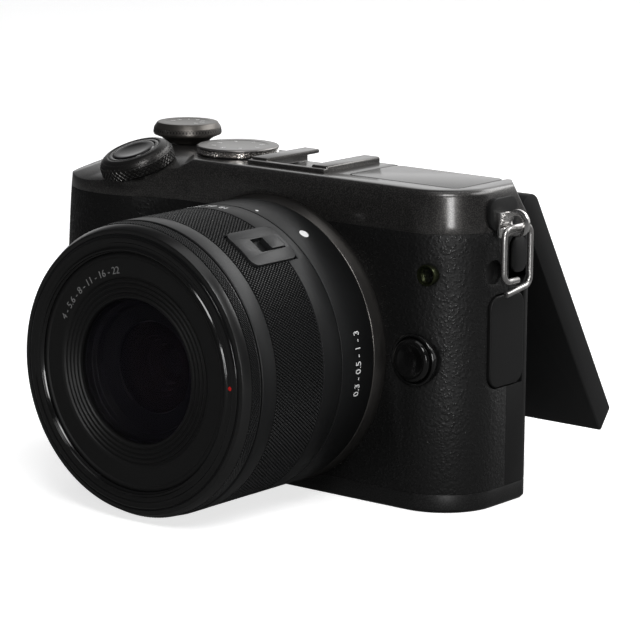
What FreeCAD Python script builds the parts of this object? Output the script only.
import FreeCAD
import Part
import os
from math import atan, cos, degrees, radians, sin, tan

# A compact system camera with a zoom lens and a flip-out screen, in millimetres.
# The origin is the mouth of the tripod socket, the lens axis lies in the plane X = 0,
# -Y is the way the lens looks, +X is the side with the jack door, and +Z is up.

# ---------------------------------------------------------------- body shell
FRONT_Y = -15.0          # flat front face
REAR_Y = 11.1            # face behind the screen
CONTROL_Y = 14.6         # raised zone that carries the rear buttons
LEFT_X = -61.6           # grip side
RIGHT_X = 49.1           # jack door side
CONTROL_X = -29.0        # where the raised zone ends
BASE_SEAM_Z = 4.0
TOP_SEAM_Z = 58.3
TOP_Z = 67.2
WALL = 1.6
LEATHER = 0.8            # thickness of the grip covering
LEATHER_END_Y = 2.3      # rear edge of the covering
FRONT_CORNER = 13.0
REAR_CORNER = 2.7
GRIP_CORNER = 17.0
GRIP_DEPTH_TOP = 5.4     # how far the grip stands out at the top seam
GRIP_DEPTH = 7.0         # and at its fullest
GRIP_FULL_Z = 24.0
GRIP_OUTER_X = -44.0     # where the grip's front starts to fall back
GRIP_INNER_X = -22.0     # and where it meets the flat front
TOP_DRAFT = 0.8          # how far the top cover leans in
TOP_ROUND = 1.6
BASE_CHAMFER = 0.7
SEAT = 0.3               # gap round a piece that lifts or swings
RUN = 0.06               # radial gap of a shaft in its hole

# ---------------------------------------------------------------- grip deck
DIAL_X, DIAL_Y = -37.6, -14.2
DECK_FORWARD = 18.8      # degrees
DECK_SIDE = 6.5
DECK_Z = 63.9            # height of the deck under the front dial
SHOULDER = (-60.8, -3.0, 61.5)       # a point of the plane that falls to the grip's end
SHOULDER_SIDE, SHOULDER_FORWARD = 18.3, 8.2
FACET = (44.6, 9.0, TOP_Z)           # a point of the facet that takes off the rear corner
DECK_WALL_X = -20.9      # where the deck's side wall reaches the top plate

# ---------------------------------------------------------------- lens
AXIS_Z = 31.3
LENS_R = 30.4
ESCUTCHEON_R = LENS_R + 0.4
ESCUTCHEON_TIP_R = LENS_R - 0.3
MOUNT_R = ESCUTCHEON_R - 1.9         # outside of the bayonet ring
FLANGE_Y = -18.0         # face of the lens mount
FLANGE_TO_SENSOR = 18.0
REAR_BARREL_END = -28.8
ZOOM_KNURL_REAR = -34.8
ZOOM_KNURL_FRONT = -49.7
ZOOM_END = -54.0
FOCUS_END = -58.8
FOCUS_R = LENS_R - 1.3               # the focus ring at its front edge
SLEEVE_R = LENS_R - 2.2
SLEEVE_BORE_R = SLEEVE_R - 0.9
BARREL_R = SLEEVE_BORE_R - 0.3
BARREL_RIM_R = BARREL_R + 0.9
BARREL_LENGTH = 27.0
RIM_Y = -59.3            # front edge of the inner barrel
FILTER_R = BARREL_R - 2.5
FILTER_DEPTH = 1.0
STEP_R = FILTER_R - 5.1  # where the fine steps of the name ring start
STEP_RUN = 1.1
STEP_DROP = 0.15
GLASS_R = FILTER_R - 9.7
SEAT_DEPTH = 3.2         # from the name ring's face to the front glass's seat
GLASS_BEHIND = 1.1       # from the rim back to the front glass, clear of a filter's thread
THROAT_R = MOUNT_R - 6.4
REAR_GLASS_R = 12.0
KNURL_DEPTH = 0.35
RING_GAP = 0.15
PLATE_ANGLE = 56.0       # where the zoom ring's lock plate sits, from +X towards +Z
PLATE_Y = (-45.6, -31.6)
PLATE_HALF = 4.9
PLATE_RISE = 0.45
SLOT_Y = (-40.6, -33.0)
SLOT_HALF = 1.9

# ---------------------------------------------------------------- dials
FRONT_DIAL_R, FRONT_DIAL_H = 8.2, 4.4
BUTTON_R, BUTTON_TRAVEL = 4.75, 0.8
HUB_WALL = 0.9
MODE_X, MODE_Y, MODE_R, MODE_TOP = -20.4, -1.4, 8.9, 69.2
COMP_X, COMP_Y, COMP_R, COMP_TOP = -40.2, 4.7, 7.8, 71.8
POWER_X, POWER_Y, POWER_R = -29.5, 6.2, 2.2
SPINDLE_R = 2.0

# ---------------------------------------------------------------- hot shoe
SHOE_X = 10.4
SHOE_FRONT_Y, SHOE_REAR_Y = -10.4, 9.0
SHOE_TOP = 68.5
SHOE_SLOT = 2.0
SHOE_LIP = 0.9
SHOE_MOUTH = 6.1

# ---------------------------------------------------------------- flash
LID_X = (15.2, 43.2)
LID_Y = (-8.2, 8.8)
LID_T = 1.2
LEDGE = 1.6              # how far the well's walls stand in from the lid's sides
LEDGE_FRONT = 0.8
LEDGE_REAR = 2.9
TUB_WALL = 1.2
WELL_X = (LID_X[0] + LEDGE, LID_X[1] - LEDGE)
WELL_Y = (LID_Y[0] + LEDGE_FRONT, LID_Y[1] - LEDGE_REAR)
HEAD_X = (WELL_X[0] + 0.4, WELL_X[1] - 0.4)
HEAD_Y = (WELL_Y[0] + 3.0, WELL_Y[1] - 0.4)
HEAD_Z = 61.0
WELL_FLOOR = 57.6
FLASH_ARM_X = (24.0, 34.0)
FLASH_P1 = (-5.8, 59.3)
FLASH_P2 = (4.2, 59.3)
ARM_R = 1.3
PIN_R = 0.7

# ---------------------------------------------------------------- side
DOOR_Y, DOOR_Z = (-4.2, 7.5), (25.6, 44.8)
PORT_Z = (12.0, 34.0)
JACKS = ((1.75, 39.5), (1.25, 30.5))     # bore radius and height of each jack
JACK_Y = 1.6
JACK_DEPTH = 9.0
DOOR_T = 1.2
DOOR_PROUD = 0.4
LUG_X, LUG_Y, LUG_Z = 52.3, 0.6, 60.0
LUG_R, LUG_HOLE_R, LUG_T = 2.9, 1.5, 0.9
LEFT_LUG_DROP = 7.2      # the lug on the grip side sits this much lower
PAD_Y, PAD_Z, PAD_T = (-5.1, 4.4), (58.6, 65.2), 0.5
WIRE_R = 0.65
RING_HALF = 4.6
RING_DROP = 13.6
SWITCH_Y, SWITCH_Z = (2.8, 8.0), (46.3, 56.3)

# ---------------------------------------------------------------- screen
SCREEN_X = (-27.0, 46.0)
PIVOT_Y, PIVOT_Z = 14.4, 60.6
SCREEN_T = 6.0
SCREEN_OUTER = 57.9      # pivot to bottom edge on the outer face
SCREEN_INNER = 60.0      # pivot to bottom edge on the inner face
SCREEN_TILT = 30.5       # degrees it stands open
HINGE_X = (-8.0, 27.0)
ARM_X = (-6.0, 25.0)
GLASS_HALF = 33.0        # half the width of the screen's glass
ARM_T = 1.4
ARM_LENGTH = 42.0
KNUCKLE_R = 2.6

# ---------------------------------------------------------------- rear controls
WHEEL_X, WHEEL_Z, WHEEL_R = -45.5, 22.0, 9.5
WHEEL_T = 1.4
SET_R = 4.2
SMALL_R = 2.3
SMALL_BUTTONS = {"menu_button": (-53.5, 9.6), "play_button": (-37.5, 9.6),
                 "info_button": (-37.5, 35.0), "movie_button": (-34.5, 49.5)}
BUTTON_PROUD = 0.8

# ---------------------------------------------------------------- base and insides
SOCKET_R = 3.175
SOCKET_DEPTH = 5.5
BATTERY_X, BATTERY_Y = (-54.6, -26.0), (-12.6, 1.4)
BATTERY_TOP = 50.0
BATTERY_DOOR_T = 1.6
DOOR_LIFT = 0.15         # the battery door lies this far inside the base face
CASE_SCREWS = ((30.0, -9.0), (40.0, 3.0), (-14.0, 5.0), (18.0, 6.0))
SCREW_R = 1.1
BOARD_Y = 6.4
BOARD_T = 1.2
LATCH_X = (-53.4, -46.4)
LATCH_Y = (-8.0, -3.0)
SENSOR_Y = FLANGE_Y + FLANGE_TO_SENSOR
LAMP_X, LAMP_Z, LAMP_R = 40.6, 49.9, 2.2
RELEASE_X, RELEASE_Z, RELEASE_R = 37.7, 32.0, 4.6

X_AXIS = FreeCAD.Vector(1, 0, 0)
Y_AXIS = FreeCAD.Vector(0, 1, 0)
Z_AXIS = FreeCAD.Vector(0, 0, 1)
parts = {}


# ================================================================ shapes
def vec(x, y, z):
    return FreeCAD.Vector(x, y, z)


def block(x, y, z):
    """A box between three pairs of limits."""
    return Part.makeBox(x[1] - x[0], y[1] - y[0], z[1] - z[0], vec(x[0], y[0], z[0]))


def slab(x, y, z, radius, axis=Z_AXIS):
    """A box whose four edges along one axis are rounded."""
    solid = block(x, y, z)
    return solid.makeFillet(radius, edges_along(solid, axis))


def edges_along(solid, axis):
    found = []
    for edge in solid.Edges:
        run = edge.Vertexes[-1].Point - edge.Vertexes[0].Point
        if run.Length > 1e-6 and abs(run.normalize().dot(axis)) > 0.999:
            found.append(edge)
    return found


def rod(start, axis, radius, length):
    return Part.makeCylinder(radius, length, start, axis)


def tube(start, axis, outer, inner, length):
    return rod(start, axis, outer, length).cut(rod(start, axis, inner, length))


def lathe(profile):
    """A solid of revolution about the lens axis, from (radius, y) points."""
    points = [vec(radius, y, AXIS_Z) for radius, y in profile]
    face = Part.Face(Part.makePolygon(points + points[:1]))
    return face.revolve(vec(0, 0, AXIS_Z), Y_AXIS, 360)


def turned(profile, x, y, base):
    """A solid of revolution about a vertical axis, from (radius, z) points."""
    points = [vec(x + radius, y, base + z) for radius, z in profile]
    face = Part.Face(Part.makePolygon(points + points[:1]))
    return face.revolve(vec(x, y, 0), Z_AXIS, 360)


def knurled(solid, start, axis, radius, length, count, depth):
    """Cut straight flutes round a cylinder."""
    side = axis.cross(X_AXIS if abs(axis.x) < 0.9 else Y_AXIS).normalize()
    flutes = []
    for step in range(count):
        turn = FreeCAD.Rotation(axis, 360.0 * step / count)
        flutes.append(rod(start + turn.multVec(side) * (radius + depth * 0.4), axis, depth, length))
    return solid.cut(Part.makeCompound(flutes))


def one(shape):
    """The shape as a clean solid."""
    return shape.removeSplitter()


# ================================================================ body outline
def outline(z, depth, inset, rear=REAR_Y):
    """Plan of the body at one height, drawn inwards by an inset."""
    run = GRIP_INNER_X - GRIP_OUTER_X
    lean = 2 * atan(depth / run)
    bend = run / (2 * sin(lean))
    front = FRONT_Y - depth

    def arc(x, y, radius, first, last):
        circle = Part.Circle(vec(x, y, z), Z_AXIS, radius)
        return Part.Arc(circle, radians(first), radians(last)).toShape()

    bow = degrees(lean)
    curves = [arc(GRIP_OUTER_X, front + bend, bend - inset, 270, 270 + bow),
              arc(GRIP_INNER_X, FRONT_Y - bend, bend + inset, 90, 90 + bow),
              arc(RIGHT_X - FRONT_CORNER, FRONT_Y + FRONT_CORNER, FRONT_CORNER - inset, 270, 360),
              arc(RIGHT_X - REAR_CORNER, rear - REAR_CORNER, REAR_CORNER - inset, 0, 90),
              arc(LEFT_X + REAR_CORNER, rear - REAR_CORNER, REAR_CORNER - inset, 90, 180),
              arc(LEFT_X + GRIP_CORNER, front + GRIP_CORNER, GRIP_CORNER - inset, 180, 270)]

    def line(first, second):
        return Part.LineSegment(first, second).toShape()

    left = LEFT_X + inset
    right = RIGHT_X - inset
    back = rear - inset
    straights = [line(vec(GRIP_INNER_X, FRONT_Y + inset, z), vec(RIGHT_X - FRONT_CORNER, FRONT_Y + inset, z)),
                 line(vec(right, FRONT_Y + FRONT_CORNER, z), vec(right, rear - REAR_CORNER, z)),
                 line(vec(RIGHT_X - REAR_CORNER, back, z), vec(LEFT_X + REAR_CORNER, back, z)),
                 line(vec(left, rear - REAR_CORNER, z), vec(left, front + GRIP_CORNER, z)),
                 line(vec(LEFT_X + GRIP_CORNER, front + inset, z), vec(GRIP_OUTER_X, front + inset, z))]
    return Part.Wire(Part.__sortEdges__(curves + straights))


def grip_depth(z):
    """The grip swells from its top to its fullest height and stays full below."""
    rise = max(0.0, (z - GRIP_FULL_Z) / (TOP_SEAM_Z - GRIP_FULL_Z))
    return GRIP_DEPTH - (GRIP_DEPTH - GRIP_DEPTH_TOP) * rise ** 2


def hull(inset, bottom, top):
    """The body as a solid between two heights, swelling at the grip."""
    middle = min(GRIP_FULL_Z, top)
    solids = []
    if bottom < middle:
        face = Part.Face(outline(bottom, GRIP_DEPTH, inset))
        solids.append(face.extrude(vec(0, 0, middle - bottom)))
    if top > middle:
        levels = [middle + (top - middle) * step / 3.0 for step in range(4)]
        sections = [outline(z, grip_depth(z), inset) for z in levels]
        solids.append(Part.makeLoft(sections, True, False))
    return solids[0].fuse(solids[1:]) if len(solids) > 1 else solids[0]


def prism(inset, bottom, top, depth, rear=REAR_Y):
    return Part.Face(outline(bottom, depth, inset, rear)).extrude(vec(0, 0, top - bottom))


# ================================================================ shared tools and cutters
DECK_NORMAL = vec(-tan(radians(DECK_SIDE)), -tan(radians(DECK_FORWARD)), 1).normalize()
DIAL_BASE = vec(DIAL_X, DIAL_Y, DECK_Z)
DIAL_TOP = DIAL_BASE + DECK_NORMAL * FRONT_DIAL_H
DECK_FILLET = 5.0
BIG = 120.0


def above_plane(point, normal):
    """A large block that fills the side of a plane that its normal points to."""
    solid = block((-BIG, BIG), (-BIG, BIG), (0, BIG))
    solid.Placement = FreeCAD.Placement(point, FreeCAD.Rotation(Z_AXIS, normal))
    return solid


def deck_cutter(drop=0.0):
    """Everything above the sloping deck and left of its side wall."""
    first = vec(DECK_WALL_X, -15.5, TOP_Z)
    second = vec(DECK_WALL_X - 8.1, -6.0, TOP_Z)
    third = vec(DECK_WALL_X - 5.1, -16.0, TOP_Z - 2.7)
    wall_normal = (second - first).cross(third - first).normalize()
    if wall_normal.z < 0:
        wall_normal = wall_normal * -1
    low = vec(0, 0, -drop)
    cutter = above_plane(DIAL_BASE + low, DECK_NORMAL).common(above_plane(first + low, wall_normal))
    crease = DECK_NORMAL.cross(wall_normal).normalize()
    return cutter.makeFillet(DECK_FILLET, edges_along(cutter, crease))


def shoulder_cutter(drop=0.0):
    """Everything above the plane that falls towards the end of the grip."""
    normal = vec(-tan(radians(SHOULDER_SIDE)), -tan(radians(SHOULDER_FORWARD)), 1).normalize()
    return above_plane(vec(*SHOULDER) - vec(0, 0, drop), normal)


def facet_cutter(drop=0.0):
    """Everything outside the facet on the rear corner of the top cover."""
    normal = vec(0.78, 0.62, 0.48).normalize()
    return above_plane(vec(*FACET) - normal * drop, normal)


def escutcheon_bore(radius):
    return rod(vec(0, FRONT_Y - 12, AXIS_Z), Y_AXIS, radius, 12 + 2 * WALL + LEATHER)


def mount_seat():
    """What the mount's ring takes out of the covers in front of the cover's own wall."""
    return rod(vec(0, FRONT_Y - 12, AXIS_Z), Y_AXIS, ESCUTCHEON_R, 12 + LEATHER)


def front_bore(x, z, radius):
    return rod(vec(x, FRONT_Y - 2, z), Y_AXIS, radius, 2 + 2 * WALL + LEATHER)


def door_pocket(gap):
    """The opening for the jack door, with its rounded corners."""
    y = (DOOR_Y[0] - gap, DOOR_Y[1] + gap)
    z = (DOOR_Z[0] - gap, DOOR_Z[1] + gap)
    return slab((RIGHT_X - DOOR_T, RIGHT_X + 3), y, z, 3.0, X_AXIS)


def port_pocket(gap):
    z = (PORT_Z[0] - gap, PORT_Z[1] + gap)
    y = (DOOR_Y[0] - gap, DOOR_Y[1] + gap)
    return slab((LEFT_X - 3, LEFT_X + DOOR_T), y, z, 3.0, X_AXIS)


def switch_pocket(gap):
    y = (SWITCH_Y[0] - gap, SWITCH_Y[1] + gap)
    z = (SWITCH_Z[0] - gap, SWITCH_Z[1] + gap)
    return slab((RIGHT_X - 1.0, RIGHT_X + 3), y, z, 2.2, X_AXIS)


def side_blind(y, z, side):
    """A cutter through one side of the body, behind a door."""
    x = (RIGHT_X - 2 * WALL, RIGHT_X + 3) if side > 0 else (LEFT_X - 3, LEFT_X + 2 * WALL)
    y = (y[0] - SEAT, y[1] + SEAT)
    z = (z[0] - SEAT, z[1] + SEAT)
    return block(x, y, z)


# ================================================================ body pieces
def make_front_cover():
    shell = hull(LEATHER, BASE_SEAM_Z, TOP_SEAM_Z).cut(hull(LEATHER + WALL, BASE_SEAM_Z, TOP_SEAM_Z))
    shell = shell.common(block((-BIG, BIG), (-BIG, LEATHER_END_Y), (0, BIG)))
    shell = shell.cut(escutcheon_bore(THROAT_R + 1.0)).cut(mount_seat())
    shell = shell.cut(front_bore(LAMP_X, LAMP_Z, LAMP_R))
    shell = shell.cut(front_bore(RELEASE_X, RELEASE_Z, RELEASE_R + 0.1))
    pockets = [side_blind(DOOR_Y, DOOR_Z, 1), side_blind(DOOR_Y, PORT_Z, -1),
               switch_pocket(SEAT), notch_cutter()]
    return one(shell.cut(Part.makeCompound(pockets)))


def notch_cutter():
    """The finger notch in the jack door side."""
    return slab((RIGHT_X - LEATHER - 0.9, RIGHT_X + 3), (-5.2, -0.4), (47.4, 52.4), 2.2, X_AXIS)


def make_leather_wrap():
    skin = hull(0, BASE_SEAM_Z, TOP_SEAM_Z).cut(hull(LEATHER, BASE_SEAM_Z, TOP_SEAM_Z))
    skin = skin.common(block((-BIG, BIG), (-BIG, LEATHER_END_Y), (0, BIG)))
    skin = skin.cut(escutcheon_bore(ESCUTCHEON_R))
    skin = skin.cut(front_bore(LAMP_X, LAMP_Z, LAMP_R))
    skin = skin.cut(front_bore(RELEASE_X, RELEASE_Z, RELEASE_R + 0.9))
    cuts = [door_pocket(SEAT), port_pocket(SEAT), switch_pocket(SEAT), notch_cutter()]
    return one(skin.cut(Part.makeCompound(cuts)))


def make_rear_cover():
    shell = prism(0, BASE_SEAM_Z, TOP_SEAM_Z, GRIP_DEPTH).cut(
        prism(WALL, BASE_SEAM_Z, TOP_SEAM_Z, GRIP_DEPTH))
    shell = shell.common(block((-BIG, BIG), (LEATHER_END_Y, BIG), (0, BIG)))
    zone = slab((LEFT_X, CONTROL_X), (0, CONTROL_Y), (BASE_SEAM_Z, TOP_SEAM_Z), REAR_CORNER)
    zone = zone.common(block((-BIG, BIG), (REAR_Y - REAR_CORNER, BIG), (0, BIG)))
    inner = block((LEFT_X + WALL, CONTROL_X - WALL), (0, REAR_Y - WALL),
                  (BASE_SEAM_Z - 1, TOP_SEAM_Z + 1))
    shoulder = above_plane(vec(0, CONTROL_Y, TOP_SEAM_Z - 4.0), vec(0, 1, 0.9).normalize())
    zone = zone.cut(inner).cut(shoulder)
    shell = shell.fuse(zone).fuse(hinge_ears()).fuse(board_posts())
    shell = shell.cut(Part.makeCompound([side_blind(DOOR_Y, DOOR_Z, 1), side_blind(DOOR_Y, PORT_Z, -1),
                                         switch_pocket(SEAT)]))
    for x, z in SMALL_BUTTONS.values():
        shell = shell.cut(rod(vec(x, REAR_Y - WALL - 1, z), Y_AXIS, SMALL_R + 0.1, 10))
    wheel = rod(vec(WHEEL_X, CONTROL_Y - WHEEL_T, WHEEL_Z), Y_AXIS, WHEEL_R + 0.3, 10)
    stem = rod(vec(WHEEL_X, 0, WHEEL_Z), Y_AXIS, SET_R + 0.5, 30)
    return one(shell.cut(wheel).cut(stem))


def hinge_ears():
    """Two ears behind the top edge that carry the screen's pin."""
    ears = []
    for x in ((HINGE_X[0] - 3.0, ARM_X[0] - 0.2), (ARM_X[1] + 0.2, HINGE_X[1] + 3.0)):
        width = x[1] - x[0]
        barrel = rod(vec(x[0], PIVOT_Y, PIVOT_Z), X_AXIS, KNUCKLE_R, width)
        foot = block(x, (REAR_Y - 0.5, PIVOT_Y), (PIVOT_Z - KNUCKLE_R - 3.0, PIVOT_Z))
        slope = above_plane(vec(0, PIVOT_Y, PIVOT_Z - KNUCKLE_R), vec(0, 1, -1).normalize())
        root = block(x, (REAR_Y - WALL, REAR_Y), (PIVOT_Z - KNUCKLE_R - 3.0, TOP_SEAM_Z))
        ear = foot.cut(slope).cut(block(x, (0, REAR_Y), (TOP_SEAM_Z, BIG)))
        ear = barrel.fuse(ear).fuse(root)
        bore = rod(vec(x[0] - 1, PIVOT_Y, PIVOT_Z), X_AXIS, PIN_R + RUN, width + 2)
        ears.append(ear.cut(bore).cut(block(x, (0, REAR_Y - WALL), (0, BIG))))
    return ears[0].fuse(ears[1])


def board_posts():
    posts = [rod(vec(x, BOARD_Y, z), Y_AXIS, 1.8, REAR_Y - WALL - BOARD_Y + 0.4)
             for x in (-20.0, 36.0) for z in (14.0, 48.0)]
    return Part.makeCompound(posts)


def make_main_board():
    return block((-24, 38.5), (BOARD_Y - BOARD_T, BOARD_Y), (10, 52))


def make_bottom_plate():
    plate = prism(0, 0, BASE_SEAM_Z, GRIP_DEPTH)
    rim = [edge for edge in plate.Edges if abs(edge.BoundBox.ZMax) < 1e-4]
    plate = plate.makeChamfer(BASE_CHAMFER, rim)
    plate = plate.cut(prism(WALL, WALL, BASE_SEAM_Z + 1, GRIP_DEPTH))
    zone = slab((LEFT_X, CONTROL_X), (0, CONTROL_Y), (0, BASE_SEAM_Z), REAR_CORNER)
    zone = zone.common(block((-BIG, BIG), (REAR_Y - REAR_CORNER, BIG), (0, BIG)))
    zone = zone.cut(block((LEFT_X + WALL, CONTROL_X - WALL), (0, REAR_Y), (WALL, BIG)))
    boss = rod(vec(0, 0, 0), Z_AXIS, SOCKET_R + 3.6, SOCKET_DEPTH + 1.0)
    plate = plate.fuse(zone).fuse(boss)
    bay = block((BATTERY_X[0] - 0.2, BATTERY_X[1] + 0.2), (BATTERY_Y[0] + 1.0, BATTERY_Y[1] + 1.0), (-1, 9))
    plate = plate.cut(bay).cut(rod(vec(0, 0, -1), Z_AXIS, SOCKET_R + 1.6, SOCKET_DEPTH + 3))
    for x, y in CASE_SCREWS:
        plate = plate.cut(rod(vec(x, y, -1), Z_AXIS, SCREW_R, 9))
    return one(plate.cut(mount_seat()))


def make_tripod_bush():
    bush = rod(vec(0, 0, 0), Z_AXIS, SOCKET_R + 1.6, SOCKET_DEPTH + 1.0)
    return bush.cut(rod(vec(0, 0, -1), Z_AXIS, SOCKET_R, SOCKET_DEPTH + 1))


def cover_block(inset, bottom, top):
    """The top cover's outside, leaning in a little towards the top."""
    sections = [outline(bottom, GRIP_DEPTH_TOP, inset), outline(top, GRIP_DEPTH_TOP, inset + TOP_DRAFT)]
    return Part.makeLoft(sections, True, True)


def make_top_cover():
    cover = cover_block(0, TOP_SEAM_Z, TOP_Z)
    rear_lean = above_plane(vec(0, REAR_Y - 1.8, TOP_Z), vec(0, 1, 0.30).normalize())
    rim = [edge for edge in cover.Edges if edge.BoundBox.ZMin > TOP_Z - 0.01]
    cover = cover.makeFillet(TOP_ROUND, rim)
    cover = cover.cut(rear_lean).cut(deck_cutter()).cut(shoulder_cutter()).cut(facet_cutter())
    room = cover_block(WALL, TOP_SEAM_Z - 0.01, TOP_Z - WALL).cut(deck_cutter(WALL * 1.1))
    room = room.cut(above_plane(vec(0, REAR_Y - 1.8 - WALL, TOP_Z), vec(0, 1, 0.30).normalize()))
    room = room.cut(shoulder_cutter(WALL)).cut(facet_cutter(WALL))
    cover = cover.cut(room)
    cover = cover.fuse(flash_tub()).fuse(dial_hub())
    cover = cover.cut(flash_room()).cut(shoe_hole())
    cover = cover.cut(rod(DIAL_BASE - DECK_NORMAL * 4, DECK_NORMAL, BUTTON_R - 1.6, 12))
    cover = cover.cut(rod(DIAL_BASE + DECK_NORMAL * (FRONT_DIAL_H - BUTTON_TRAVEL - 1.2), DECK_NORMAL,
                          BUTTON_R + 0.1, 12))
    for x, y in ((MODE_X, MODE_Y), (COMP_X, COMP_Y)):
        cover = cover.cut(rod(vec(x, y, TOP_Z - 5), Z_AXIS, SPINDLE_R + RUN, 10))
    cover = cover.cut(rod(vec(POWER_X, POWER_Y, TOP_Z - 5), Z_AXIS, POWER_R + 0.1, 10))
    return one(cover.cut(mount_seat()))


def dial_hub():
    """The fixed tube that the front dial turns on, with the shutter button inside."""
    return rod(DIAL_BASE - DECK_NORMAL * 1.0, DECK_NORMAL, BUTTON_R + HUB_WALL, FRONT_DIAL_H + 0.8)


def flash_tub():
    """The walls and floor of the well that the flash sinks into."""
    return block((WELL_X[0] - TUB_WALL, WELL_X[1] + TUB_WALL), (WELL_Y[0] - TUB_WALL, WELL_Y[1] + TUB_WALL),
                 (WELL_FLOOR - TUB_WALL, TOP_Z - 1.0))


def flash_room():
    """The space inside the well, wider at the top where the lid seats."""
    seat = slab((LID_X[0] - SEAT, LID_X[1] + SEAT), (LID_Y[0] - SEAT, LID_Y[1] + 4),
                (TOP_Z - LID_T - SEAT, TOP_Z + 5), 2.0)
    return seat.fuse(block(WELL_X, WELL_Y, (WELL_FLOOR, TOP_Z + 5)))


def shoe_hole():
    return block((-SHOE_X, SHOE_X), (SHOE_FRONT_Y, REAR_Y + 5), (TOP_Z - WALL - 3, TOP_Z + 3))


def make_hot_shoe():
    floor_z = SHOE_TOP - SHOE_LIP - SHOE_SLOT
    base = block((-SHOE_X, SHOE_X), (SHOE_FRONT_Y, SHOE_REAR_Y), (floor_z - 1.2, SHOE_TOP))
    rails = edges_along(base, Y_AXIS)
    base = base.makeFillet(0.5, [edge for edge in rails if edge.BoundBox.ZMin > SHOE_TOP - 0.1])
    slot = block((-SHOE_X + 1.1, SHOE_X - 1.1), (SHOE_FRONT_Y + 1.4, BIG), (floor_z, floor_z + SHOE_SLOT))
    mouth = block((-SHOE_MOUTH, SHOE_MOUTH), (SHOE_FRONT_Y + 1.4, BIG), (floor_z, BIG))
    front = block((-SHOE_X - 1, SHOE_X + 1), (SHOE_FRONT_Y - 1, SHOE_FRONT_Y + 1.4), (SHOE_TOP - 0.5, BIG))
    return one(base.cut(slot).cut(mouth).cut(front))


def make_shoe_contacts():
    """Raised contact pads on the floor of the shoe."""
    floor_z = SHOE_TOP - SHOE_LIP - SHOE_SLOT
    pads = [rod(vec(0, 0, floor_z), Z_AXIS, 1.4, 0.3)]
    for x in (-4.0, -1.4, 1.4, 4.0):
        pads.append(rod(vec(x, -6.0, floor_z), Z_AXIS, 0.8, 0.3))
    return Part.makeCompound(pads)


def make_thumb_rest():
    rest = slab((-60.0, -47.0), (CONTROL_Y - 0.01, CONTROL_Y + 2.4), (36.0, 53.0), 4.0, Y_AXIS)
    front = [edge for edge in rest.Edges if edge.BoundBox.YMin > CONTROL_Y + 2.3]
    rest = rest.makeFillet(1.6, front)
    return rest.cut(block((-BIG, BIG), (0, CONTROL_Y), (0, BIG)))


# ================================================================ mount and insides
def make_mount_escutcheon():
    seat_y = FRONT_Y + LEATHER
    return lathe([(MOUNT_R, seat_y), (ESCUTCHEON_R, seat_y), (ESCUTCHEON_R, FRONT_Y - 0.4),
                  (ESCUTCHEON_TIP_R, FLANGE_Y), (MOUNT_R, FLANGE_Y)])


def make_camera_bayonet():
    ring = lathe([(THROAT_R + 1.0, FRONT_Y + LEATHER), (MOUNT_R, FRONT_Y + LEATHER),
                  (MOUNT_R, FLANGE_Y), (THROAT_R + 1.0, FLANGE_Y)])
    tabs = []
    for start in (10, 130, 250):
        tab = lathe([(THROAT_R - 0.6, FRONT_Y), (THROAT_R + 1.0, FRONT_Y),
                     (THROAT_R + 1.0, FRONT_Y + 1.2), (THROAT_R - 0.6, FRONT_Y + 1.2)])
        wedge = Part.makeCylinder(40, 6, vec(0, FRONT_Y - 2, AXIS_Z), Y_AXIS, 50)
        wedge.rotate(vec(0, 0, AXIS_Z), Y_AXIS, start)
        tabs.append(tab.common(wedge))
    for x, z in mount_screw_places():
        ring = ring.cut(rod(vec(x, FLANGE_Y - 1, z), Y_AXIS, 1.3, 2.2))
    return one(ring.fuse(tabs))


def mount_screw_places():
    radius = (THROAT_R + 1.0 + MOUNT_R) / 2
    angles = [radians(45 + 90 * step) for step in range(4)]
    return [(radius * cos(angle), AXIS_Z + radius * sin(angle)) for angle in angles]


def make_mount_screws():
    screws = []
    for x, z in mount_screw_places():
        head = rod(vec(x, FLANGE_Y + 0.3, z), Y_AXIS, 1.3, 0.9)
        slot = block((x - 0.8, x + 0.8), (FLANGE_Y, FLANGE_Y + 0.7), (z - 0.2, z + 0.2))
        screws.append(head.cut(slot))
    return Part.makeCompound(screws)


def make_shutter_unit():
    frame = block((-24, 24), (FRONT_Y + LEATHER + WALL, SENSOR_Y), (AXIS_Z - 19, AXIS_Z + 19))
    chamber = rod(vec(0, FRONT_Y, AXIS_Z), Y_AXIS, THROAT_R - 4, 10)
    gate = block((-13, 13), (FRONT_Y, SENSOR_Y + 1), (AXIS_Z - 9, AXIS_Z + 9))
    return one(frame.cut(chamber).cut(gate))


def make_image_sensor():
    plate = block((-20, 20), (SENSOR_Y, SENSOR_Y + 1.4), (AXIS_Z - 15, AXIS_Z + 15))
    chip = block((-11.2, 11.2), (SENSOR_Y - 0.8, SENSOR_Y), (AXIS_Z - 7.5, AXIS_Z + 7.5))
    return one(plate.fuse(chip))


def make_battery():
    return slab(BATTERY_X, (BATTERY_Y[0] + 1.2, BATTERY_Y[1] + 0.8), (2.4, BATTERY_TOP), 2.0)


def make_battery_box():
    """The thin box that holds the battery against the front cover."""
    outer = block((BATTERY_X[0] - 0.8, BATTERY_X[1] + 1.2), (FRONT_Y + LEATHER + WALL, BATTERY_Y[1] + 2.0),
                  (BASE_SEAM_Z, BATTERY_TOP + 1.0))
    return outer.cut(block(BATTERY_X, (BATTERY_Y[0] + 1.2, BATTERY_Y[1] + 0.8), (0, BATTERY_TOP)))


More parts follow.
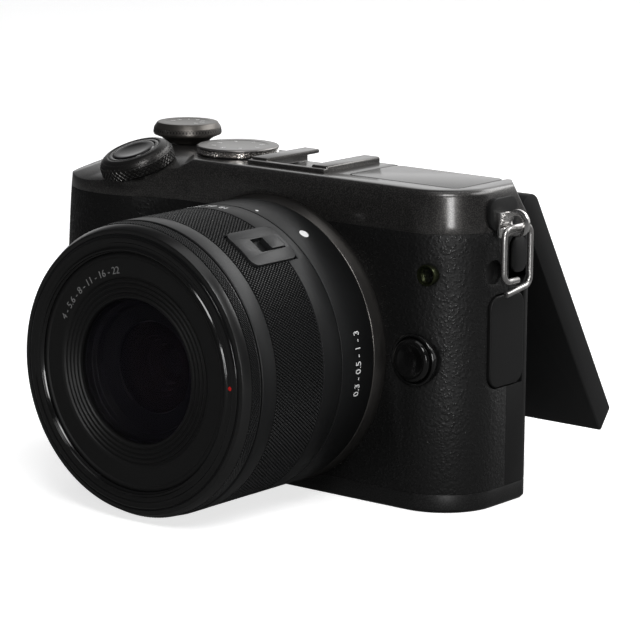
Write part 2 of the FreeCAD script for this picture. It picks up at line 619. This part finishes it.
def make_terminal_sockets():
    """The jack sockets behind the doors, each with its bore."""
    y = (DOOR_Y[0] - SEAT, DOOR_Y[1] + SEAT)
    right = block((RIGHT_X - JACK_DEPTH - 1, RIGHT_X - DOOR_T - SEAT), y,
                  (DOOR_Z[0] - SEAT, DOOR_Z[1] + SEAT))
    for radius, z in JACKS:
        right = right.cut(rod(vec(RIGHT_X - JACK_DEPTH, JACK_Y, z), X_AXIS, radius, JACK_DEPTH + 4))
    left = block((LEFT_X + DOOR_T + SEAT, LEFT_X + 2 * WALL + 1), (BATTERY_Y[1] + 2.0, y[1]),
                 (PORT_Z[0] - SEAT, PORT_Z[1] + SEAT))
    return Part.makeCompound([right, left])


def make_case_screws():
    screws = []
    for x, y in CASE_SCREWS:
        screws.append(rod(vec(x, y, 0.25), Z_AXIS, SCREW_R, WALL - 0.25))
    return Part.makeCompound(screws)


def make_af_lamp():
    return rod(vec(LAMP_X, FRONT_Y + 0.2, LAMP_Z), Y_AXIS, LAMP_R, LEATHER + WALL - 0.2)


def make_lug_pads():
    right = slab((RIGHT_X - 1.0, RIGHT_X + PAD_T), PAD_Y, PAD_Z, 2.4, X_AXIS)
    low = (PAD_Z[0] - LEFT_LUG_DROP, PAD_Z[1] - LEFT_LUG_DROP)
    left = slab((LEFT_X - PAD_T, LEFT_X), PAD_Y, low, 2.4, X_AXIS)
    return Part.makeCompound([right.cut(cover_block(0, TOP_SEAM_Z, TOP_Z)), left])


def make_strap_lugs():
    return Part.makeCompound([strap_lug(1, RIGHT_X), strap_lug(-1, LEFT_X)])


def lug_x(side):
    return LUG_X if side > 0 else LEFT_X - (LUG_X - RIGHT_X)


def lug_z(side):
    return LUG_Z if side > 0 else LUG_Z - LEFT_LUG_DROP


def strap_lug(side, face):
    """A foot on the side of the body and an eye that stands out from it."""
    x = lug_x(side)
    z = lug_z(side)
    eye = rod(vec(x, LUG_Y - LUG_T / 2, z), Y_AXIS, LUG_R, LUG_T)
    outer = face + side * PAD_T
    neck_x = sorted((outer, x))
    neck = block(neck_x, (LUG_Y - LUG_T / 2, LUG_Y + LUG_T / 2), (z - LUG_R, z + LUG_R - 0.6))
    foot_x = sorted((outer, outer + side * LUG_T))
    foot = block(foot_x, (LUG_Y - 3.6, LUG_Y + LUG_T / 2), (z - LUG_R, z + LUG_R - 0.6))
    inside = sorted((outer, x - side * 20))
    lug = eye.cut(block(inside, (-BIG, BIG), (0, BIG))).fuse(neck).fuse(foot)
    return lug.cut(rod(vec(x, LUG_Y - 5, z), Y_AXIS, LUG_HOLE_R, 10))


# ================================================================ lens, fixed pieces
def make_lens_rear_barrel():
    body = lathe([(SLEEVE_BORE_R, FLANGE_Y - 0.1), (ESCUTCHEON_TIP_R, FLANGE_Y - 0.1),
                  (LENS_R, FLANGE_Y - 1.2), (LENS_R, REAR_BARREL_END), (SLEEVE_R, REAR_BARREL_END),
                  (SLEEVE_R, FOCUS_END), (SLEEVE_BORE_R, FOCUS_END)])
    return body


def make_lens_bayonet():
    """The lens side of the mount, with the wall that closes the barrel."""
    plate = lathe([(REAR_GLASS_R, FLANGE_Y - 2.0), (SLEEVE_BORE_R, FLANGE_Y - 2.0),
                   (SLEEVE_BORE_R, FLANGE_Y - 0.1),
                   (THROAT_R + 0.4, FLANGE_Y - 0.1), (THROAT_R + 0.4, FLANGE_Y), (THROAT_R - 1.0, FLANGE_Y),
                   (THROAT_R - 1.0, FRONT_Y - 0.4), (THROAT_R - 2.4, FRONT_Y - 0.4),
                   (THROAT_R - 2.4, FLANGE_Y - 0.6), (REAR_GLASS_R, FLANGE_Y - 0.6)])
    return plate


def make_rear_lens():
    return rod(vec(0, FLANGE_Y - 2.6, AXIS_Z), Y_AXIS, REAR_GLASS_R, 3.4)


def make_iris_unit():
    return lathe([(6.0, FLANGE_Y - 6.0), (SLEEVE_BORE_R - 1.2, FLANGE_Y - 6.0),
                  (SLEEVE_BORE_R - 1.2, FLANGE_Y - 2.0), (14.0, FLANGE_Y - 2.0),
                  (14.0, FLANGE_Y - 4.6), (6.0, FLANGE_Y - 4.6)])


# ================================================================ lens, moving pieces
def make_zoom_ring():
    ring = lathe([(SLEEVE_R + RUN, REAR_BARREL_END - RING_GAP), (LENS_R, REAR_BARREL_END - RING_GAP),
                  (LENS_R, ZOOM_END), (SLEEVE_R + RUN, ZOOM_END)])
    start = vec(0, ZOOM_KNURL_FRONT, AXIS_Z)
    return knurled(ring, start, Y_AXIS, LENS_R, ZOOM_KNURL_REAR - ZOOM_KNURL_FRONT, 90, KNURL_DEPTH).cut(
        plate_seat())


def on_barrel(solid, angle=PLATE_ANGLE):
    """Turn a solid made above the lens axis to its place round the barrel."""
    solid.rotate(vec(0, 0, AXIS_Z), Y_AXIS, 90 - angle)
    return solid


def plate_seat():
    """The pocket in the zoom ring that the lock plate fills."""
    top = AXIS_Z + LENS_R
    return on_barrel(slab((-PLATE_HALF, PLATE_HALF), PLATE_Y, (top - 1.2, top + 4), 2.0))


def make_zoom_plate():
    shell = lathe([(LENS_R - 1.6, PLATE_Y[0]), (LENS_R + PLATE_RISE, PLATE_Y[0]),
                   (LENS_R + PLATE_RISE, PLATE_Y[1]), (LENS_R - 1.6, PLATE_Y[1])])
    plate = shell.common(plate_seat())
    slot = block((-SLOT_HALF, SLOT_HALF), SLOT_Y, (AXIS_Z + LENS_R - 0.7, AXIS_Z + LENS_R + 4))
    return one(plate.cut(on_barrel(slot)))


def make_zoom_lock():
    """The slider in the plate's slot, at its unlocked end."""
    body = slab((-SLOT_HALF + 0.15, SLOT_HALF - 0.15), (SLOT_Y[1] - 4.4, SLOT_Y[1] - 0.15),
                (AXIS_Z + LENS_R - 0.65, AXIS_Z + LENS_R + PLATE_RISE + 0.3), 0.5)
    return on_barrel(body)


def make_focus_ring():
    ring = lathe([(SLEEVE_R + RUN, ZOOM_END - RING_GAP * 2), (LENS_R - 0.2, ZOOM_END - RING_GAP * 2),
                  (LENS_R, ZOOM_END - 0.9), (LENS_R - 0.1, FOCUS_END + 1.6), (FOCUS_R, FOCUS_END),
                  (SLEEVE_R + RUN, FOCUS_END)])
    start = vec(0, FOCUS_END + 1.7, AXIS_Z)
    return knurled(ring, start, Y_AXIS, LENS_R, 2.4, 110, KNURL_DEPTH * 0.8)


def make_inner_barrel():
    rear = RIM_Y + BARREL_LENGTH
    return lathe([(FILTER_R + 1.0, rear), (BARREL_R, rear), (BARREL_R, FOCUS_END - 0.1),
                  (BARREL_RIM_R, FOCUS_END - 0.2), (BARREL_RIM_R, RIM_Y + 0.2),
                  (BARREL_RIM_R - 0.4, RIM_Y), (FILTER_R + 0.3, RIM_Y),
                  (FILTER_R, RIM_Y + 0.3), (FILTER_R, RIM_Y + FILTER_DEPTH),
                  (FILTER_R + 1.0, RIM_Y + FILTER_DEPTH)])


def make_name_ring():
    """The ring inside the rim and the fine steps that lead to the glass."""
    start = RIM_Y + FILTER_DEPTH
    steps = [(FILTER_R + 1.0, start + 0.1), (STEP_R, start + 0.1)]
    for step in (1, 2, 3, 4):
        radius = STEP_R - STEP_RUN * step
        steps += [(radius + STEP_RUN, start + STEP_DROP * step), (radius, start + STEP_DROP * step)]
    floor_y = start + SEAT_DEPTH
    return lathe([(GLASS_R, floor_y), (FILTER_R + 1.0, floor_y)] + steps + [(GLASS_R, start + 4 * STEP_DROP)])


def make_front_lens():
    """The front element, a shallow dome in its seat."""
    seat_y = RIM_Y + FILTER_DEPTH + SEAT_DEPTH
    top_y = RIM_Y + GLASS_BEHIND
    dome = Part.makeSphere(10 * GLASS_R, vec(0, top_y + 10 * GLASS_R, AXIS_Z))
    barrel = rod(vec(0, top_y, AXIS_Z), Y_AXIS, GLASS_R, seat_y - top_y + 3.0)
    rear = rod(vec(0, seat_y, AXIS_Z), Y_AXIS, STEP_R, 3.0)
    return one(dome.common(barrel).fuse(rear))


# ================================================================ top controls
def make_shutter_button():
    """A dished cap on a stem, standing in the dial's hub."""
    cap = rod(DIAL_BASE + DECK_NORMAL * (FRONT_DIAL_H - BUTTON_TRAVEL - 0.2), DECK_NORMAL, BUTTON_R,
              BUTTON_TRAVEL + 1.0)
    dish = Part.makeSphere(22.0, DIAL_TOP + DECK_NORMAL * 22.3)
    stem = rod(DIAL_BASE - DECK_NORMAL * 0.5, DECK_NORMAL, BUTTON_R - 1.7, FRONT_DIAL_H - BUTTON_TRAVEL + 0.6)
    return one(cap.fuse(stem).cut(dish))


def make_front_dial():
    bore = BUTTON_R + HUB_WALL + RUN
    dial = rod(DIAL_BASE + DECK_NORMAL * 0.1, DECK_NORMAL, FRONT_DIAL_R, FRONT_DIAL_H - 0.2)
    crown = [edge for edge in dial.Edges if (edge.CenterOfMass - DIAL_TOP).Length < 0.5]
    dial = dial.makeChamfer(0.9, crown)
    dial = dial.cut(rod(DIAL_BASE - DECK_NORMAL, DECK_NORMAL, bore, FRONT_DIAL_H + 2))
    return knurled(dial, DIAL_BASE - DECK_NORMAL, DECK_NORMAL, FRONT_DIAL_R, FRONT_DIAL_H + 2, 40, 0.35)


def make_mode_dial():
    height = MODE_TOP - TOP_Z
    profile = [(0, 0.1), (MODE_R - 0.5, 0.1), (MODE_R, 0.4), (MODE_R, height - 0.4),
               (MODE_R - 0.5, height), (0, height)]
    dial = turned(profile, MODE_X, MODE_Y, TOP_Z)
    dial = knurled(dial, vec(MODE_X, MODE_Y, TOP_Z), Z_AXIS, MODE_R, height - 0.3, 48, 0.3)
    return dial.fuse(rod(vec(MODE_X, MODE_Y, TOP_Z - 3), Z_AXIS, SPINDLE_R, 3.3))


def make_exposure_dial():
    height = COMP_TOP - TOP_Z
    profile = [(0, 0.1), (COMP_R - 2.9, 0.1), (COMP_R - 2.6, 0.7), (COMP_R - 0.5, 1.7), (COMP_R, 2.3),
               (COMP_R - 0.2, 3.4), (COMP_R - 0.9, height), (0, height)]
    dial = turned(profile, COMP_X, COMP_Y, TOP_Z)
    return dial.fuse(rod(vec(COMP_X, COMP_Y, TOP_Z - 3), Z_AXIS, SPINDLE_R, 3.3))


def make_power_button():
    return rod(vec(POWER_X, POWER_Y, TOP_Z - 1.4), Z_AXIS, POWER_R, 1.4 + 0.5)


# ================================================================ rear controls
def small_button(x, z):
    return rod(vec(x, REAR_Y - WALL, z), Y_AXIS, SMALL_R, CONTROL_Y - REAR_Y + WALL + BUTTON_PROUD)


def make_control_wheel():
    base = vec(WHEEL_X, CONTROL_Y - WHEEL_T + 0.2, WHEEL_Z)
    wheel = tube(base, Y_AXIS, WHEEL_R, SET_R + 0.4, WHEEL_T + 0.9)
    return knurled(wheel, base, Y_AXIS, WHEEL_R, WHEEL_T + 0.9, 60, 0.25)


def make_set_button():
    return rod(vec(WHEEL_X, CONTROL_Y - 4.0, WHEEL_Z), Y_AXIS, SET_R, 4.0 + 0.9)


def make_release_button():
    start = FRONT_Y + LEATHER + WALL
    shaft = rod(vec(RELEASE_X, start, RELEASE_Z), Y_AXIS * -1, RELEASE_R, start - FRONT_Y + 1.2)
    tip = [edge for edge in shaft.Edges if edge.BoundBox.YMax < FRONT_Y - 1.1]
    return shaft.makeFillet(0.6, tip)


# ================================================================ flash
def make_flash_arm():
    (y1, z1), (y2, z2) = FLASH_P1, FLASH_P2
    width = FLASH_ARM_X[1] - FLASH_ARM_X[0]
    start = FLASH_ARM_X[0]
    arm = block(FLASH_ARM_X, (y1, y2), (z1 - ARM_R, z1 + ARM_R - 0.4))
    for y, z in (FLASH_P1, FLASH_P2):
        arm = arm.fuse(rod(vec(start, y, z), X_AXIS, ARM_R, width))
    pin = rod(vec(start - 1.6, y1, z1), X_AXIS, PIN_R, width + 3.2)
    arm = arm.cut(rod(vec(start - 1, y2, z2), X_AXIS, PIN_R + RUN, width + 2))
    return one(arm.fuse(pin))


def make_flash_head():
    (y2, z2) = FLASH_P2
    lid = slab(LID_X, LID_Y, (TOP_Z - LID_T, TOP_Z), 1.8)
    body = block(HEAD_X, HEAD_Y, (HEAD_Z, TOP_Z - LID_T))
    body = body.cut(window_space())
    pin = rod(vec(FLASH_ARM_X[0] - 1.2, y2, z2), X_AXIS, PIN_R, FLASH_ARM_X[1] - FLASH_ARM_X[0] + 2.4)
    head = lid.fuse(body).fuse(pin)
    for x in ((FLASH_ARM_X[0] - 1.4, FLASH_ARM_X[0] - 0.2), (FLASH_ARM_X[1] + 0.2, FLASH_ARM_X[1] + 1.4)):
        ear = block(x, (y2 - ARM_R, HEAD_Y[1]), (z2 - ARM_R, HEAD_Z))
        head = head.fuse(ear)
    return one(head)


def window_space():
    return block((HEAD_X[0] + 2.0, HEAD_X[1] - 2.0), (HEAD_Y[0] - 1, HEAD_Y[0] + 1.2),
                 (HEAD_Z + 0.6, TOP_Z - LID_T - 0.3))


def make_flash_window():
    return window_space().cut(block((-BIG, BIG), (-BIG, HEAD_Y[0] + 0.1), (0, BIG)))


def flash_ears():
    """Ears on the well's floor that carry the arm's front pin."""
    y1, z1 = FLASH_P1
    ears = []
    for x in ((FLASH_ARM_X[0] - 1.4, FLASH_ARM_X[0] - 0.2), (FLASH_ARM_X[1] + 0.2, FLASH_ARM_X[1] + 1.4)):
        ear = rod(vec(x[0], y1, z1), X_AXIS, ARM_R, x[1] - x[0])
        foot = block(x, (y1 - ARM_R, y1 + ARM_R), (WELL_FLOOR - 0.2, z1))
        ears.append(ear.fuse(foot).cut(rod(vec(x[0] - 1, y1, z1), X_AXIS, PIN_R + RUN, 4)))
    return ears[0].fuse(ears[1])


# ================================================================ side and base doors
def make_side_door():
    y, z = DOOR_Y, DOOR_Z
    door = slab((RIGHT_X - DOOR_T + 0.1, RIGHT_X + DOOR_PROUD), y, z, 2.8, X_AXIS)
    face = [edge for edge in door.Edges if edge.BoundBox.XMin > RIGHT_X + DOOR_PROUD - 0.01]
    return door.makeFillet(0.3, face)


def make_port_door():
    door = slab((LEFT_X - DOOR_PROUD, LEFT_X + DOOR_T - 0.1), DOOR_Y, PORT_Z, 2.8, X_AXIS)
    face = [edge for edge in door.Edges if edge.BoundBox.XMax < LEFT_X - DOOR_PROUD + 0.01]
    return door.makeFillet(0.3, face)


def make_flash_switch():
    y = (SWITCH_Y[0] + 0.1, SWITCH_Y[1] - 0.1)
    return slab((RIGHT_X - 0.9, RIGHT_X + 0.5), y, (SWITCH_Z[0] + 2.6, SWITCH_Z[1] - 0.1), 1.9, X_AXIS)


def make_battery_door():
    y = (BATTERY_Y[0] + 1.2, BATTERY_Y[1] + 0.8)
    radius = BATTERY_DOOR_T / 2
    edge = vec(BATTERY_X[1] - 0.1 - radius, y[0], DOOR_LIFT + radius)
    door = block((BATTERY_X[0] + 0.1, edge.x), y, (DOOR_LIFT, DOOR_LIFT + BATTERY_DOOR_T))
    return one(door.cut(latch_slot(0.15)).fuse(rod(edge, Y_AXIS, radius, y[1] - y[0])))


def latch_slot(gap):
    return block((LATCH_X[0] - gap, LATCH_X[1] + gap), (LATCH_Y[0] - gap, LATCH_Y[1] + gap), (-1, 1.2))


def make_battery_latch():
    latch = block((LATCH_X[0] + 1.5, LATCH_X[1]), LATCH_Y, (0.35, 1.2))
    middle = (LATCH_X[0] + 1.5 + LATCH_X[1]) / 2
    return latch.cut(block((middle - 0.4, middle + 0.4), (LATCH_Y[0] + 1.0, LATCH_Y[1] - 1.0), (0, 0.7)))


# ================================================================ screen
def tilt(solid):
    """Turn a piece of the screen from closed to its resting angle."""
    solid.rotate(vec(0, PIVOT_Y, PIVOT_Z), X_AXIS, SCREEN_TILT)
    return solid


def make_screen_shell():
    inner = PIVOT_Y - SCREEN_T / 2
    outer = PIVOT_Y + SCREEN_T / 2
    low = PIVOT_Z - SCREEN_INNER
    profile = [vec(SCREEN_X[0], inner, low + 1.0), vec(SCREEN_X[0], inner + 0.8, low),
               vec(SCREEN_X[0], outer, PIVOT_Z - SCREEN_OUTER), vec(SCREEN_X[0], outer, PIVOT_Z),
               vec(SCREEN_X[0], inner, PIVOT_Z)]
    face = Part.Face(Part.makePolygon(profile + profile[:1]))
    panel = face.extrude(vec(SCREEN_X[1] - SCREEN_X[0], 0, 0))
    cap = rod(vec(SCREEN_X[0], PIVOT_Y, PIVOT_Z), X_AXIS, SCREEN_T / 2, SCREEN_X[1] - SCREEN_X[0])
    panel = panel.fuse(cap).removeSplitter()
    notch = block((HINGE_X[0] - 3.4, HINGE_X[1] + 3.4), (0, BIG), (PIVOT_Z - KNUCKLE_R - 3.6, BIG))
    recess = block((ARM_X[0] - 0.4, ARM_X[1] + 0.4), (0, inner + ARM_T + 0.3),
                   (PIVOT_Z - ARM_LENGTH - 3.0, BIG))
    panel = panel.cut(notch).cut(recess).cut(bezel_space())
    y, z = arm_end()
    pin = rod(vec(ARM_X[0] - 1.4, y, z), X_AXIS, PIN_R - 0.1, ARM_X[1] - ARM_X[0] + 2.8)
    return tilt(one(panel.fuse(pin)))


def arm_end():
    return PIVOT_Y - SCREEN_T / 2 + ARM_T / 2 + 0.15, PIVOT_Z - ARM_LENGTH


def bezel_space():
    outer = PIVOT_Y + SCREEN_T / 2
    return block((SCREEN_X[0] + 1.0, SCREEN_X[1] - 1.0), (outer - 1.4, outer + 1),
                 (PIVOT_Z - SCREEN_OUTER + 1.2, PIVOT_Z - KNUCKLE_R - 4.6))


def make_screen_bezel():
    outer = PIVOT_Y + SCREEN_T / 2
    frame = block((SCREEN_X[0] + 1.1, SCREEN_X[1] - 1.1), (outer - 1.4, outer - 0.1),
                  (PIVOT_Z - SCREEN_OUTER + 1.3, PIVOT_Z - KNUCKLE_R - 4.7))
    return tilt(frame.cut(glass_space()))


def glass_space():
    outer = PIVOT_Y + SCREEN_T / 2
    middle = (SCREEN_X[0] + SCREEN_X[1]) / 2
    return block((middle - GLASS_HALF, middle + GLASS_HALF), (outer - 1.4, outer + 1),
                 (PIVOT_Z - SCREEN_OUTER + 3.4, PIVOT_Z - KNUCKLE_R - 6.4))


def make_screen_glass():
    outer = PIVOT_Y + SCREEN_T / 2
    return tilt(glass_space().common(block((-BIG, BIG), (0, outer - 0.2), (-BIG, BIG))))


def make_screen_arm():
    inner = PIVOT_Y - SCREEN_T / 2
    y, z = arm_end()
    plate = block(ARM_X, (inner + 0.15, inner + 0.15 + ARM_T), (z, PIVOT_Z))
    knuckle = rod(vec(ARM_X[0], PIVOT_Y, PIVOT_Z), X_AXIS, KNUCKLE_R, ARM_X[1] - ARM_X[0])
    low_knuckle = rod(vec(ARM_X[0], y, z), X_AXIS, ARM_T / 2, ARM_X[1] - ARM_X[0])
    arm = plate.fuse(knuckle).fuse(low_knuckle)
    arm = arm.cut(rod(vec(ARM_X[0] - 1, y, z), X_AXIS, PIN_R - 0.1 + RUN, ARM_X[1] - ARM_X[0] + 2))
    pin = rod(vec(ARM_X[0] - 2.6, PIVOT_Y, PIVOT_Z), X_AXIS, PIN_R, ARM_X[1] - ARM_X[0] + 5.2)
    return tilt(one(arm.fuse(pin)))


# ================================================================ strap rings
def wire_path(side):
    """An open rectangle of wire that hangs from the lug, its ends apart at the bottom."""
    x = lug_x(side)
    y = LUG_Y
    top = lug_z(side) - LUG_HOLE_R + WIRE_R + 0.08
    bend = 2.0
    front, back = y - RING_HALF, y + RING_HALF
    low = top - RING_DROP
    points = [vec(x, back - 4.2, low + 2.6), vec(x, front, low + 2.6), vec(x, front, top), vec(x, back, top),
              vec(x, back, low + 1.2), vec(x, front + 1.0, low)]
    return rounded_path(points, bend)


def rounded_path(points, bend):
    """A wire through points with each corner turned into an arc."""
    edges = []
    start = points[0]
    for before, corner, after in zip(points, points[1:], points[2:]):
        entry_run = (before - corner).normalize()
        exit_run = (after - corner).normalize()
        half = entry_run.getAngle(exit_run) / 2
        reach = bend / tan(half)
        entry = corner + entry_run * reach
        leave = corner + exit_run * reach
        centre = corner + (entry_run + exit_run).normalize() * (bend / sin(half))
        middle = centre + (corner - centre).normalize() * bend
        edges.append(Part.LineSegment(start, entry).toShape())
        edges.append(Part.Arc(entry, middle, leave).toShape())
        start = leave
    edges.append(Part.LineSegment(start, points[-1]).toShape())
    return Part.Wire(edges)


def make_strap_ring(side):
    path = wire_path(side)
    first = path.Edges[0]
    begin = first.Vertexes[0].Point
    heading = first.Vertexes[1].Point - begin
    profile = Part.Wire(Part.makeCircle(WIRE_R, begin, heading))
    return path.makePipeShell([profile], True, True)


# ================================================================ export
def build():
    makers = {name[5:]: maker for name, maker in globals().items() if name.startswith("make_")}
    for name, maker in makers.items():
        if name != "strap_ring":
            parts[name] = maker()
    parts["top_cover"] = one(parts["top_cover"].fuse(flash_ears()))
    for name, (x, z) in SMALL_BUTTONS.items():
        parts[name] = small_button(x, z)
    parts["strap_ring_right"] = make_strap_ring(1)
    parts["strap_ring_left"] = make_strap_ring(-1)


build()
os.makedirs("parts", exist_ok=True)
for node, shape in parts.items():
    shape.exportStep("parts/" + node + ".step")
    print(node, len(shape.Solids), round(shape.Volume, 1), shape.isValid())
